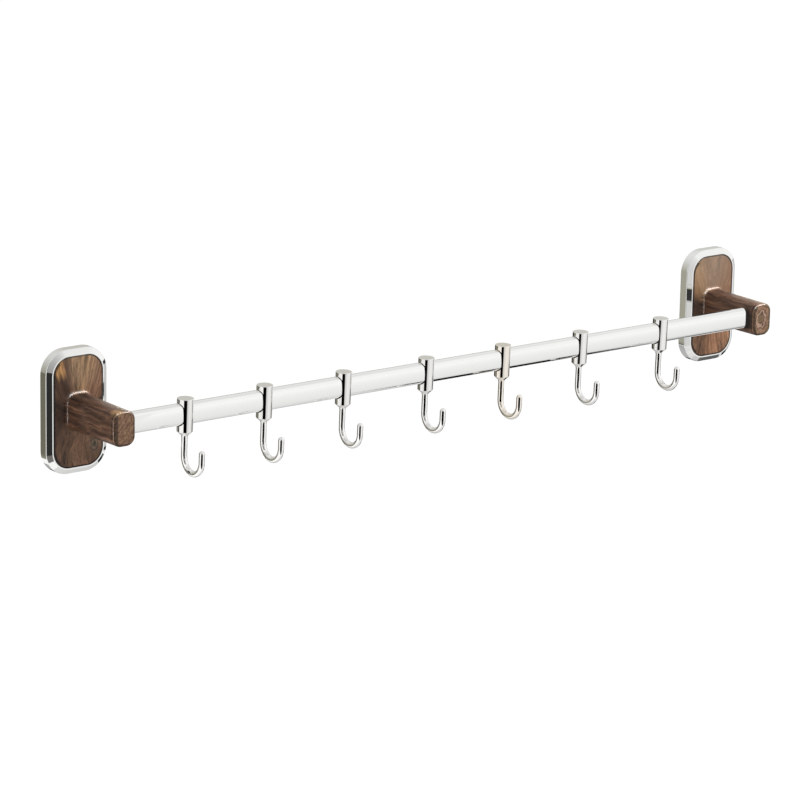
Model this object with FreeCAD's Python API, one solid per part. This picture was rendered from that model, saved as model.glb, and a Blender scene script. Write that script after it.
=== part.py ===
import FreeCAD, Part
import math
import os

# Kitchen utensil rail: two wall brackets hold a flat oval tube, and hooks slide along the tube.
# Millimetres. X runs along the rail to the right, Y goes into the wall and Z is up. The origin is midway
# between the brackets, on the face of the wall, at the height of the rail's axis.

Vector = FreeCAD.Vector

# Brackets along the wall
BRACKET_SPACING = 600.0

# Bezel: a shell with a straight rim, a flat bevel and a narrow crest round the face
PLATE_WIDTH = 51.0
PLATE_HEIGHT = 90.8
PLATE_CORNER = 18.0
RIM_DEPTH = 7.3
RIM_EDGE_ROUND = 0.5
BEVEL_WIDTH = 3.75
BEVEL_DEPTH = 2.6
CREST_WIDTH = 0.75
BEZEL_WALL = 2.2
WEB_THICKNESS = 2.0

# Face and arm: one moulding, the face set in the bezel and the arm tapering to its tip
FACE_GROOVE = 0.5
FACE_SINK = 0.15
FACE_EDGE_ROUND = 0.5
ARM_REACH = 69.0
ARM_BASE_WIDTH = 19.8
ARM_BASE_HEIGHT = 25.9
ARM_BASE_CORNER = 6.7
ARM_TIP_WIDTH = 18.2
ARM_TIP_HEIGHT = 25.3
ARM_TIP_CORNER = 6.7
ARM_FOOT_FILLET = 3.2
ARM_TIP_ROUND = 1.8

# Rail: a flat oval tube whose ends sit in pockets in the arms
RAIL_OUT = 55.8
RAIL_HEIGHT = 16.0
RAIL_DEPTH = 8.0
RAIL_CORNER = 3.7
RAIL_WALL = 0.8
RAIL_SEAT = 9.0
POCKET_CLEARANCE = 0.1

# Hooks: a turned body on the rail, and a rod bent to a J in its foot
HOOK_PLACES = (-0.826, -0.589, -0.346, -0.084, 0.166, 0.427, 0.705)
HOOK_LEAN = 2.0
HOOK_DROP = 0.2
HOLE_CLEARANCE = 0.45
BODY_TOP_RADIUS = 6.0
BODY_FOOT_RADIUS = 5.75
BODY_TOP_EDGE = 0.35
BODY_ABOVE_HOLE = 2.95
BODY_BELOW_HOLE = 4.45
CONE_HEIGHT = 3.0
COLLAR_RADIUS = 2.5
COLLAR_HEIGHT = 0.8
ROD_RADIUS = 2.2
ROD_CLEARANCE = 0.05
ROD_SOCKET = 5.2
ROD_STRAIGHT = 14.0
BEND_RADIUS = 11.0
TIP_STRAIGHT = 6.4

# Wall plate: pressed steel with a lip at top and bottom, behind the bezel
WALL_PLATE_SIDE_INSET = 7.5
WALL_PLATE_END_INSET = 7.4
WALL_PLATE_CORNER = 8.0
WALL_PLATE_THICKNESS = 2.0
LIP_WIDTH = 14.0
LIP_THICKNESS = 2.0
LIP_GAP = 0.5
WALL_HOLE_RADIUS = 2.5
WALL_HOLE_SPACING = 40.0

# Fasteners
ARM_SCREW_SPACING = 16.0
ARM_SCREW_RADIUS = 2.0
ARM_SCREW_BITE = 10.0
ARM_SCREW_HEAD_RADIUS = 3.5
ARM_SCREW_HEAD_HEIGHT = 2.2
ARM_SCREW_SLOT_WIDTH = 1.0
ARM_SCREW_SLOT_DEPTH = 1.1
SCREW_CLEARANCE = 0.2
GRUB_RADIUS = 1.5
GRUB_LENGTH = 5.4
GRUB_OUT = 3.1
GRUB_KEY_FLATS = 1.5
GRUB_KEY_DEPTH = 1.8
THREAD_CLEARANCE = 0.05

# Worked out from the sizes above
CREST_OUT = RIM_DEPTH + BEVEL_DEPTH
FACE_OUT = CREST_OUT - FACE_SINK
CREST_INSET = BEVEL_WIDTH + CREST_WIDTH
FACE_INSET = CREST_INSET + FACE_GROOVE
WEB_BACK_OUT = RIM_DEPTH - WEB_THICKNESS
HOLE_HALF_HEIGHT = RAIL_HEIGHT / 2 + HOLE_CLEARANCE
BODY_TOP = HOLE_HALF_HEIGHT + BODY_ABOVE_HOLE
BODY_FOOT = -HOLE_HALF_HEIGHT - BODY_BELOW_HOLE
COLLAR_TOP = BODY_FOOT - CONE_HEIGHT
COLLAR_FOOT = COLLAR_TOP - COLLAR_HEIGHT
WALL_PLATE_WIDTH = PLATE_WIDTH - 2 * WALL_PLATE_SIDE_INSET
WALL_PLATE_HEIGHT = PLATE_HEIGHT - 2 * WALL_PLATE_END_INSET
SIDES = {"left": -1, "right": 1}


def rounded_outline(width, height, radius, place):
    """Rounded rectangle about (0, 0), whose points place(u, v) puts in space; the round fits its sides."""
    round_limit = 0.49 * min(width, height)
    r = min(radius, round_limit)
    a = width / 2 - r
    b = height / 2 - r
    bow = r * math.sqrt(0.5)
    edges = []
    for su, sv, turn in ((1, -1, 0), (1, 1, 1), (-1, 1, 0), (-1, -1, 1)):
        along_v = place(su * (a + r), sv * b)
        along_u = place(su * a, sv * (b + r))
        middle = place(su * (a + bow), sv * (b + bow))
        start, end = (along_v, along_u) if turn else (along_u, along_v)
        if edges:
            edges.append(Part.LineSegment(last, start).toShape())
        else:
            first = start
        edges.append(Part.Arc(start, middle, end).toShape())
        last = end
    edges.append(Part.LineSegment(last, first).toShape())
    return Part.Wire(edges)


def plate_outline(width, height, radius, out):
    """Rounded rectangle parallel to the wall, at a distance out from it."""
    return rounded_outline(width, height, radius, lambda u, v: Vector(u, -out, v))


def plate_block(inset, start_out, end_out):
    """Block between two distances from the wall, with the plate's outline moved in by inset."""
    wire = plate_outline(PLATE_WIDTH - 2 * inset, PLATE_HEIGHT - 2 * inset, PLATE_CORNER - inset, start_out)
    return Part.Face(wire).extrude(Vector(0, start_out - end_out, 0))


def rail_block(growth, start_x, end_x):
    """Bar with the rail's section, grown by growth on every side, from start_x to end_x."""
    wire = rounded_outline(RAIL_DEPTH + 2 * growth, RAIL_HEIGHT + 2 * growth, RAIL_CORNER + growth,
                           lambda u, v: Vector(start_x, u - RAIL_OUT, v))
    return Part.Face(wire).extrude(Vector(end_x - start_x, 0, 0))


def edges_at_depth(shape, out, half_width=math.inf, half_height=math.inf):
    """Edges that lie in the plane at a distance out from the wall, within a box about the middle."""
    found = []
    for edge in shape.Edges:
        box = edge.BoundBox
        flat = abs(box.YMin + out) < 0.01 and abs(box.YMax + out) < 0.01
        inside = max(-box.XMin, box.XMax) < half_width and max(-box.ZMin, box.ZMax) < half_height
        if flat and inside:
            found.append(edge)
    return found


def arm_half_width_at_rail():
    """Half the arm's width where the rail enters it, along the straight taper from foot to tip."""
    share = (RAIL_OUT - FACE_OUT) / (ARM_REACH - FACE_OUT)
    return (ARM_BASE_WIDTH + share * (ARM_TIP_WIDTH - ARM_BASE_WIDTH)) / 2


def clear_half_length():
    """Half the length of rail that shows between the arms."""
    return BRACKET_SPACING / 2 - arm_half_width_at_rail()


def arm_screw_heights():
    """Heights of the two arm screws of a bracket."""
    return (ARM_SCREW_SPACING / 2, -ARM_SCREW_SPACING / 2)


def bezel():
    """Shell about the bracket's centre line: rim, bevel, recess for the face and hollow for the wall plate."""
    rim = plate_block(0, 0, RIM_DEPTH)
    foot = plate_outline(PLATE_WIDTH, PLATE_HEIGHT, PLATE_CORNER, RIM_DEPTH)
    crest = plate_outline(PLATE_WIDTH - 2 * BEVEL_WIDTH, PLATE_HEIGHT - 2 * BEVEL_WIDTH,
                          PLATE_CORNER - BEVEL_WIDTH, CREST_OUT)
    shell = rim.fuse(Part.makeLoft([foot, crest], True, True)).removeSplitter()
    shell = shell.makeFillet(RIM_EDGE_ROUND, edges_at_depth(shell, RIM_DEPTH))
    shell = shell.cut(plate_block(CREST_INSET, RIM_DEPTH, CREST_OUT + FACE_SINK))
    shell = shell.cut(plate_block(BEZEL_WALL, 0, WEB_BACK_OUT))
    for height in arm_screw_heights():
        hole = Part.makeCylinder(ARM_SCREW_RADIUS + SCREW_CLEARANCE, WEB_THICKNESS,
                                 Vector(0, -WEB_BACK_OUT, height), Vector(0, -1, 0))
        shell = shell.cut(hole)
    grub_hole = Part.makeCylinder(GRUB_RADIUS + THREAD_CLEARANCE, BEZEL_WALL,
                                  Vector(0, -GRUB_OUT, -PLATE_HEIGHT / 2), Vector(0, 0, 1))
    return shell.cut(grub_hole)


def arm(side):
    """Face and arm in one moulding, with a pocket for the rail on the side that faces the other bracket."""
    face = plate_block(FACE_INSET, RIM_DEPTH, FACE_OUT)
    face = face.makeFillet(FACE_EDGE_ROUND, edges_at_depth(face, FACE_OUT))
    foot = plate_outline(ARM_BASE_WIDTH, ARM_BASE_HEIGHT, ARM_BASE_CORNER, FACE_OUT)
    tip = plate_outline(ARM_TIP_WIDTH, ARM_TIP_HEIGHT, ARM_TIP_CORNER, ARM_REACH)
    reach = Part.makeLoft([foot, tip], True, True)
    reach = reach.makeFillet(ARM_TIP_ROUND, edges_at_depth(reach, ARM_REACH))
    moulding = face.fuse(reach)
    foot_edges = edges_at_depth(moulding, FACE_OUT, ARM_BASE_WIDTH / 2 + ARM_FOOT_FILLET,
                                ARM_BASE_HEIGHT / 2 + ARM_FOOT_FILLET)
    moulding = moulding.makeFillet(ARM_FOOT_FILLET, foot_edges)
    floor_x = -side * (arm_half_width_at_rail() - RAIL_SEAT)
    mouth_x = -side * ARM_BASE_WIDTH
    moulding = moulding.cut(rail_block(POCKET_CLEARANCE, floor_x, mouth_x))
    for height in arm_screw_heights():
        bore = Part.makeCylinder(ARM_SCREW_RADIUS + THREAD_CLEARANCE, ARM_SCREW_BITE,
                                 Vector(0, -RIM_DEPTH, height), Vector(0, -1, 0))
        moulding = moulding.cut(bore)
    return moulding


def arm_screws():
    """Two pan-head screws of one bracket, heads against the back of the bezel's web."""
    screws = []
    for height in arm_screw_heights():
        seat = Vector(0, -WEB_BACK_OUT, height)
        head = Part.makeCylinder(ARM_SCREW_HEAD_RADIUS, ARM_SCREW_HEAD_HEIGHT, seat, Vector(0, 1, 0))
        shank = Part.makeCylinder(ARM_SCREW_RADIUS, WEB_THICKNESS + ARM_SCREW_BITE, seat, Vector(0, -1, 0))
        screw = head.fuse(shank).removeSplitter()
        slot_out = WEB_BACK_OUT - ARM_SCREW_HEAD_HEIGHT
        slot = Part.makeBox(2 * ARM_SCREW_HEAD_RADIUS, ARM_SCREW_SLOT_DEPTH, ARM_SCREW_SLOT_WIDTH)
        slot.translate(Vector(-ARM_SCREW_HEAD_RADIUS, -slot_out - ARM_SCREW_SLOT_DEPTH,
                              height - ARM_SCREW_SLOT_WIDTH / 2))
        screws.append(screw.cut(slot))
    return Part.makeCompound(screws)


def wall_plate():
    """Plate against the wall: its top lip carries the bezel and its bottom lip takes the grub screw."""
    wire = plate_outline(WALL_PLATE_WIDTH, WALL_PLATE_HEIGHT, WALL_PLATE_CORNER, 0)
    plate = Part.Face(wire).extrude(Vector(0, -WALL_PLATE_THICKNESS, 0))
    lip_depth = WEB_BACK_OUT - LIP_GAP
    ceiling = PLATE_HEIGHT / 2 - BEZEL_WALL
    grub_top = GRUB_LENGTH - PLATE_HEIGHT / 2
    for low, high, lip_foot in ((0, ceiling, ceiling - LIP_THICKNESS), (grub_top, 0, grub_top)):
        tab = Part.makeBox(LIP_WIDTH, WALL_PLATE_THICKNESS, high - low)
        tab.translate(Vector(-LIP_WIDTH / 2, -WALL_PLATE_THICKNESS, low))
        lip = Part.makeBox(LIP_WIDTH, lip_depth, LIP_THICKNESS)
        lip.translate(Vector(-LIP_WIDTH / 2, -lip_depth, lip_foot))
        plate = plate.fuse(tab).fuse(lip)
    plate = plate.removeSplitter()
    for height in (WALL_HOLE_SPACING / 2, -WALL_HOLE_SPACING / 2):
        hole = Part.makeCylinder(WALL_HOLE_RADIUS, WALL_PLATE_THICKNESS, Vector(0, 0, height), Vector(0, -1, 0))
        plate = plate.cut(hole)
    return plate


def grub_screw():
    """Headless screw up through the bezel's rim, with a hexagon socket in its lower end."""
    low = -PLATE_HEIGHT / 2
    screw = Part.makeCylinder(GRUB_RADIUS, GRUB_LENGTH, Vector(0, -GRUB_OUT, low), Vector(0, 0, 1))
    key_radius = GRUB_KEY_FLATS / math.sqrt(3)
    corners = []
    for step in range(7):
        turn = math.radians(60 * step)
        corners.append(Vector(key_radius * math.cos(turn), key_radius * math.sin(turn) - GRUB_OUT, low))
    socket = Part.Face(Part.makePolygon(corners)).extrude(Vector(0, 0, GRUB_KEY_DEPTH))
    return screw.cut(socket)


def rail():
    """Flat oval tube from the floor of one arm's pocket to the floor of the other's."""
    half_length = clear_half_length() + RAIL_SEAT
    tube = rail_block(0, -half_length, half_length)
    return tube.cut(rail_block(-RAIL_WALL, -half_length, half_length))


def hang(shape, x):
    """Hook piece, made about its hole's centre, set on the rail at x and leaning back as the tip's weight has it."""
    shape.rotate(Vector(0, 0, 0), Vector(1, 0, 0), HOOK_LEAN)
    shape.translate(Vector(x, -RAIL_OUT, -HOOK_DROP))
    return shape


def hook_body(x):
    """Turned body: slight taper, broken top edge, cone and collar at the foot, holes for the rail and the rod."""
    profile = [
        (0, BODY_TOP),
        (BODY_TOP_RADIUS - BODY_TOP_EDGE, BODY_TOP),
        (BODY_TOP_RADIUS, BODY_TOP - BODY_TOP_EDGE),
        (BODY_FOOT_RADIUS, BODY_FOOT),
        (COLLAR_RADIUS, COLLAR_TOP),
        (COLLAR_RADIUS, COLLAR_FOOT),
        (0, COLLAR_FOOT),
        (0, BODY_TOP),
    ]
    half_section = Part.Face(Part.makePolygon([Vector(r, 0, z) for r, z in profile]))
    body = half_section.revolve(Vector(0, 0, 0), Vector(0, 0, 1), 360)
    hole = rail_block(HOLE_CLEARANCE, -2 * BODY_TOP_RADIUS, 2 * BODY_TOP_RADIUS)
    hole.translate(Vector(0, RAIL_OUT, 0))
    socket = Part.makeCylinder(ROD_RADIUS + ROD_CLEARANCE, ROD_SOCKET, Vector(0, 0, COLLAR_FOOT))
    return hang(body.cut(hole).cut(socket), x)


def hook_rod(x):
    """Round rod bent to a J: down from the body's socket, round the bend towards the room and up to a domed tip."""
    top = COLLAR_FOOT + ROD_SOCKET
    bend = COLLAR_FOOT - ROD_STRAIGHT
    far = -2 * BEND_RADIUS
    shank = Part.makeCylinder(ROD_RADIUS, top - bend, Vector(0, 0, bend))
    section = Part.Face(Part.Wire(Part.makeCircle(ROD_RADIUS, Vector(0, 0, bend), Vector(0, 0, 1))))
    curve = section.revolve(Vector(0, -BEND_RADIUS, bend), Vector(-1, 0, 0), 180)
    tip = Part.makeCylinder(ROD_RADIUS, TIP_STRAIGHT, Vector(0, far, bend))
    dome = Part.makeSphere(ROD_RADIUS, Vector(0, far, bend + TIP_STRAIGHT), Vector(0, 0, 1), 0, 90, 360)
    return hang(shank.fuse([curve, tip, dome]).removeSplitter(), x)


def at_bracket(shape, side):
    """Shape made about a bracket's centre line, moved to the left or right bracket."""
    shape.translate(Vector(side * BRACKET_SPACING / 2, 0, 0))
    return shape


def build():
    """Every piece by its node's name."""
    pieces = {"rail": rail()}
    for name, side in SIDES.items():
        pieces[f"wall_plate_{name}"] = at_bracket(wall_plate(), side)
        pieces[f"bezel_{name}"] = at_bracket(bezel(), side)
        pieces[f"arm_{name}"] = at_bracket(arm(side), side)
        pieces[f"arm_screws_{name}"] = at_bracket(arm_screws(), side)
        pieces[f"grub_screw_{name}"] = at_bracket(grub_screw(), side)
    for number, share in enumerate(HOOK_PLACES, 1):
        x = share * clear_half_length()
        pieces[f"hook_body_{number}"] = hook_body(x)
        pieces[f"hook_rod_{number}"] = hook_rod(x)
    return pieces


os.makedirs("parts", exist_ok=True)
for node, shape in build().items():
    shape.exportStep(f"parts/{node}.step")
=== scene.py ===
import math

import bpy
import numpy as np
from mathutils import Matrix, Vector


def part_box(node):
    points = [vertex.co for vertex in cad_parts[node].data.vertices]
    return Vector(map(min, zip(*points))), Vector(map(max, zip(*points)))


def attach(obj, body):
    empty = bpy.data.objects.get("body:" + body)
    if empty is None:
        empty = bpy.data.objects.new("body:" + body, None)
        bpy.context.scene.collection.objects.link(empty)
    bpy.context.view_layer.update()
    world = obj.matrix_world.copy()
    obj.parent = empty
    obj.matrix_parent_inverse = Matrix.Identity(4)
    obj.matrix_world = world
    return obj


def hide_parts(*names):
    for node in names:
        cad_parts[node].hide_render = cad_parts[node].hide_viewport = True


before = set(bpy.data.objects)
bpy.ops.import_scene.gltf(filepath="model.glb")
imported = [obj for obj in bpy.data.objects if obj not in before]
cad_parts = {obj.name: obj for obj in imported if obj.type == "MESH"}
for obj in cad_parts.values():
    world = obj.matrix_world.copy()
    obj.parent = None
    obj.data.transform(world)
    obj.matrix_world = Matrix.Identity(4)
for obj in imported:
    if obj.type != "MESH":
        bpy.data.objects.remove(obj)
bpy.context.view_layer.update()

# A kitchen utensil rail: chromed bezels and flat oval bar, walnut-film arms, and sliding chromed hooks.
# Metres. X runs along the bar to the right, Y goes into the wall, Z is up.
MM = 0.001
SIDES = ("left", "right")
HOOK_COUNT = sum(name.startswith("hook_body_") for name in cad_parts)
ROOT_BODY = "wall_rail"
WARM_HOOK = 5
NEAR_HOOKS = 3
UP = np.array([0, 0, 1.0])
TO_ROOM = np.array([0, -1.0, 0])
TO_WALL = -TO_ROOM

# Bezel: profile sizes, from the wall outwards and from the outer edge inwards
PLATE_CORNER = 18.0 * MM
RIM_DEPTH = 7.3 * MM
RIM_ROUND = 0.85 * MM
BEVEL_WIDTH = 3.75 * MM
CREST_WIDTH = 0.95 * MM
CREST_ROUND = 0.12 * MM
CREST_LIP = 0.3 * MM
BEZEL_WALL = 2.2 * MM
WEB_THICKNESS = 2.0 * MM
BACK_ROUND = 0.2 * MM

# Grub screw in the bezel's lower rim, and the flat window of the rim round it
GRUB_RADIUS = 1.55 * MM
GRUB_OUT = 3.1 * MM
GRUB_COLUMNS = (4, 9)

# Face and arm
FACE_GROOVE = 0.3 * MM
FACE_SINK = 0.15 * MM
FACE_ROUND = 0.5 * MM
ARM_BASE = (19.8 * MM, 25.9 * MM, 6.7 * MM)
ARM_TIP = (18.2 * MM, 25.3 * MM, 6.7 * MM)
FOOT_FILLET = 3.2 * MM
TIP_ROUND = 1.8 * MM

# Bar
BAR_CORNER = 3.7 * MM
BAR_WALL = 0.8 * MM
BAR_CROWN_RADIUS = 60.0 * MM

# Hooks, about the middle of the hole
HOOK_LEAN = math.radians(2.0)
HOOK_DROP = 0.2 * MM
HOLE_CLEARANCE = 0.45 * MM
BODY_TOP_RADIUS = 6.0 * MM
BODY_FOOT_RADIUS = 5.75 * MM
BODY_TOP_ROUND = 0.35 * MM
BODY_TOP_MIDDLE = 0.2 * MM
BODY_ABOVE_HOLE = 2.95 * MM
BODY_BELOW_HOLE = 4.45 * MM
CONE_HEIGHT = 3.0 * MM
CONE_ROUND = 0.25 * MM
COLLAR_RADIUS = 2.5 * MM
COLLAR_HEIGHT = 0.8 * MM
COLLAR_ROUND = 0.5 * CONE_ROUND
ROD_RADIUS = 2.2 * MM
ROD_SOCKET = 5.2 * MM
ROD_STRAIGHT = 14.0 * MM
BEND_RADIUS = 11.0 * MM
TIP_STRAIGHT = 6.4 * MM

# Mesh fineness, and the face's row along which the film's angle is measured
CORNER_STEPS = 20
SIDE_STEPS = 14
ROUND_STEPS = 6
RING_STEPS = 48
FACE_STEPS = 26
ARM_STEPS = 42
TIP_STEPS = 16
TIP_MIDDLE = 0.02
BODY_ROWS = 6
FILM_ROW = 30
# Rows of the face's rounded edge that carry the painted edge shade
SHADED_EDGE_ROWS = ROUND_STEPS + 2
ANGLE_DIGITS = 6

# Camera
IMAGE_WIDTH = 800
FOCAL_PIXELS = 3956.07
SENSOR_WIDTH = 36.0
CAMERA_AZIMUTH = math.radians(37.81)
CAMERA_ELEVATION = math.radians(14.62)
CAMERA_ROLL = math.radians(1.13)
CAMERA_DISTANCE = 2.98771
CAMERA_TARGET = np.array([-4.86, 0.0, -36.36]) * MM
CAMERA_FAR = 100.0

# Chromes by colour, hidden finishes by colour, roughness and metallic share
CHROMES = {
    "bar_chrome": (0.90, 0.90, 0.89),
    "bezel_chrome": (0.90, 0.90, 0.885),
    "hook_chrome": (0.91, 0.90, 0.88),
    "warm_hook_chrome": (0.93, 0.87, 0.79),
    "rod_chrome": (0.98, 0.97, 0.955),
    "warm_rod_chrome": (0.98, 0.92, 0.84),
}
HIDDEN = {
    # The recess finish is painted dark as shade, in the bezel's recess and the grub screw's hole.
    "shaded_recess": ((0.05, 0.042, 0.036), 0.7, 0.0),
    # The bore finish is painted dark as shade, in the hooks' bores and rod sockets.
    "bore": ((0.03, 0.028, 0.025), 0.6, 0.0),
    "zinc_plate": ((0.55, 0.55, 0.53), 0.45, 0.4),
    "screw_steel": ((0.45, 0.45, 0.45), 0.35, 0.6),
}

# Finishes of the nodes that show their own solids
SOLID_FINISHES = (("wall_plate", "zinc_plate"), ("arm_screws", "screw_steel"), ("grub_screw", "screw_steel"))

# Haze of the chromes and mottle of the hidden finishes: scale and detail of the noise, and what it changes
HAZE_NOISE = (90, 4)
HAZE_ROUGHNESS = (0.015, 0.05)
MOTTLE_NOISE = (400, 2)
MOTTLE_TONE = 0.75

# Walnut film: gloss, grain and its swirl
FILM_ROUGHNESS = (0.42, 0.55)
FILM_SPECULAR = 0.1
FILM_COAT = 0.18
FILM_COAT_ROUGHNESS = 0.08
FILM_BUMP = 0.12
FILM_BUMP_HEIGHT = 0.1 * MM
GRAIN = {
    "Streaks": {"scale": (4.5, 4.5, 28), "detail": 3, "roughness": 0.5, "range": (0.32, 0.68)},
    "Lines": {"scale": (13, 13, 24), "detail": 5, "roughness": 0.82, "range": (0.34, 0.66)},
    "Pores": {"scale": (40, 40, 160), "detail": 2, "roughness": 0.5, "range": (0.56, 0.68)},
}
SWIRL_NOISE = {"Scale": 60, "Detail": 2}
FILM_SWIRL = (0.7, 0.7, 0.006)
SWIRL_HEIGHTS = (-10.0 * MM, 16.0 * MM)
SWIRL_SHARES = {"left": (0.85, 0.16), "right": (0.3, 0.75)}
CLOCK_WANDER = 2.0 * MM
ARM_FADE = (10.0 * MM, 12.5 * MM)
TIP_FADE = (67.7 * MM, 68.8 * MM)
STREAK_TONE = (0.66, 1.4)
LINE_TONE = {"left": (0.40, 1.60), "right": (0.34, 1.75)}
PORE_TONE = 0.6
QUIET = {"left": (0.0, 0.0), "right": (0.68, 0.55)}
QUIET_HEIGHTS = (-2.0 * MM, 12.0 * MM)

# Walnut film: painted shade at the bar's seat and on the face's edge, painted shade and sheen along the arm's
# top, and a painted sheen by the top's far edge
SEAT_SHADE_OUT = 60.3 * MM
SEAT_SHADE = (4.5 * MM, 6.8 * MM)
SEAT_FADE = (1.0, 1.7)
SEAT_DARK = 0.9
INNER_SIDE = {"left": 4.0 * MM, "right": -4.0 * MM}
EDGE_SHADE_TONE = 0.18
SHADE_WIDER_FROM = -0.6
SHADE_WIDER_ROWS = 2
TOP_SHADE_SHEEN_HEIGHTS = (10.0 * MM, 12.2 * MM)
TOP_SHADE_SHEEN_REACH = (13.0 * MM, 62.0 * MM)
TOP_SHADE_SHEEN_TONE = {"left": (0.50, 1.05), "right": (0.95, 1.30)}
TOP_SHEEN_SIDE = (-1.5 * MM, 4.0 * MM)
TOP_SHEEN_HEIGHT = (10.8 * MM, 11.8 * MM)
TOP_SHEEN_REACH = (18.0 * MM, 60.0 * MM)
TOP_SHEEN_COLOUR = (0.50, 0.42, 0.32)
TOP_SHEEN_SHARE = 0.62

# Walnut film: bands round the tip's edge as (millimetres from the edge, tone) with a seam, painted shade and
# a painted highlight, and a painted highlight patch in millimetres
TIP_RIM = 10.04 * MM
BAND_TOP = 2.0
TIP_SEAM_SHADE_HIGHLIGHT = {
    "left": ((-3.4, 1.0), (-2.8, 0.36), (1.5, 0.32), (1.8, 1.4),
             (2.5, 1.4), (2.8, 0.5), (3.9, 0.5), (4.6, 1.0)),
    "right": ((-0.9, 1.0), (-0.5, 0.35), (1.5, 0.35), (1.8, 1.3),
              (2.5, 1.3), (2.8, 0.5), (3.9, 0.5), (4.6, 1.0)),
}
TIP_SEAM_SHADE_HIGHLIGHT_SIDE = (-5.0 * MM, -6.0 * MM)
TIP_FAR_SHADE = ((-0.9, 1.0), (-0.1, 0.38), (3.2, 0.38), (4.4, 1.0))
TIP_FAR_SHADE_SIDE = (6.3 * MM, 7.4 * MM)
TIP_FAR_SHADE_LOW = (-9.8 * MM, -11.0 * MM)
TIP_HIGHLIGHT = {"left": {"spot": (-5.0, -65.5, 12.6), "size": (5.5, 6.5, 4.5), "colour": (0.40, 0.225, 0.095)}}
HIGHLIGHT_FADE = (0.35, 1.05)
HIGHLIGHT_SHARE = 0.9

# Walnut film: colours round the face by clock angle, along the arm by grain, and across the tips
AMBER = {"left": {"stops": (0.424, 0.448), "radii": (26.0 * MM, 33.0 * MM), "inner": (0.075, 0.039, 0.022)}}
KNOTS = {"left": (13.4 * MM, -25.7 * MM, 3.6 * MM, 5.4 * MM)}
KNOT_NOISE = (260, 3)
KNOT_WANDER = 0.3
KNOT_REACH = 1.6
KNOT_FADE = (0.9, 1.5)
KNOT_STOPS = [(0.0, (0.050, 0.040, 0.022)), (0.22, (0.070, 0.052, 0.030)), (0.36, (0.20, 0.135, 0.085)),
              (0.52, (0.085, 0.048, 0.030)), (0.7, (0.17, 0.10, 0.062)), (1.0, (0.12, 0.068, 0.043))]
FACE_STOPS = {
    "left": [(0.00, (0.134, 0.071, 0.039)), (0.10, (0.088, 0.046, 0.026)), (0.20, (0.042, 0.018, 0.009)),
             (0.30, (0.040, 0.017, 0.008)), (0.365, (0.066, 0.031, 0.016)), (0.410, (0.060, 0.028, 0.014)),
             (0.424, (0.470, 0.245, 0.088)), (0.448, (0.380, 0.195, 0.078)), (0.458, (0.072, 0.038, 0.022)),
             (0.475, (0.130, 0.075, 0.043)), (0.50, (0.310, 0.193, 0.106)), (0.545, (0.381, 0.231, 0.125)),
             (0.60, (0.247, 0.131, 0.077)), (0.72, (0.165, 0.087, 0.049)), (0.85, (0.118, 0.069, 0.040)),
             (0.95, (0.139, 0.071, 0.039))],
    "right": [(0.00, (0.206, 0.102, 0.053)), (0.10, (0.165, 0.086, 0.047)), (0.20, (0.047, 0.019, 0.009)),
              (0.28, (0.045, 0.018, 0.009)), (0.36, (0.278, 0.153, 0.076)), (0.42, (0.453, 0.291, 0.165)),
              (0.47, (0.320, 0.210, 0.138)), (0.52, (0.355, 0.242, 0.168)), (0.60, (0.318, 0.190, 0.115)),
              (0.70, (0.300, 0.152, 0.082)), (0.85, (0.390, 0.205, 0.108)), (0.95, (0.330, 0.165, 0.088))],
}
ARM_STOPS = [(0.0, (0.070, 0.032, 0.018)), (0.5, (0.110, 0.053, 0.030)), (1.0, (0.160, 0.080, 0.045))]
TIP_DRIFT = {"scale": 1, "detail": 4, "roughness": 0.6}
TIP_FIGURE = {
    "left": {"frequency": (330, 0, 330), "shift": (9.9, 0, -9.9), "drift": (330, 1, 330), "wander": 1.6},
    "right": {"frequency": (115, 0, 80), "shift": (0.12, 0, -0.05), "drift": (280, 1, 220), "wander": 0.55},
}
TIP_STOPS = {
    "left": [(0.0, (0.118, 0.059, 0.033)), (0.35, (0.196, 0.106, 0.059)), (0.6, (0.299, 0.175, 0.096)),
             (0.8, (0.165, 0.087, 0.049)), (1.0, (0.118, 0.059, 0.033))],
    "right": [(0.0, (0.175, 0.113, 0.055)), (0.26, (0.227, 0.138, 0.076)), (0.36, (0.080, 0.038, 0.022)),
              (0.50, (0.600, 0.385, 0.275)), (0.62, (0.110, 0.052, 0.030)), (0.78, (0.400, 0.235, 0.140)),
              (0.92, (0.196, 0.103, 0.059)), (1.0, (0.175, 0.113, 0.055))],
}

# Studio: floor and lights
FLOOR_Z = -0.6
LOW = FLOOR_Z + 0.002
HIGHER = FLOOR_Z + 0.004
HIGHEST = FLOOR_Z + 0.006
FLOOR_REACH = 12.0
FLOOR_TONE = 0.95
FLOOR_GLOW = 0.16
WORLD_LIGHT = 0.7
SUN_FROM = np.array([0.62, -0.32, 0.72])
SUN_ANGLE = math.radians(14.0)
SUN_STRENGTH = 0.9
FILM_LIGHTS = {
    "film_top": {"spot": (0.7, -0.575, 1.2), "right": (1, 0, 0), "up": (0, 1, 0),
                 "size": (3.0, 0.7), "glow": 52.5},
    "film_left": {"spot": (-1.8, 0.125, -0.09), "right": (0, -1, 0), "up": (0, 0, 1),
                  "size": (0.25, 0.98), "glow": 35.0},
}

# Studio: tones of the cards. A number is a grey.
BLACK = 0.0
WHITE = 1.0
SHADE = (0.17, 0.155, 0.14)
OLIVE = (0.165, 0.158, 0.118)
PALE_OLIVE = (0.40, 0.39, 0.32)

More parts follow.
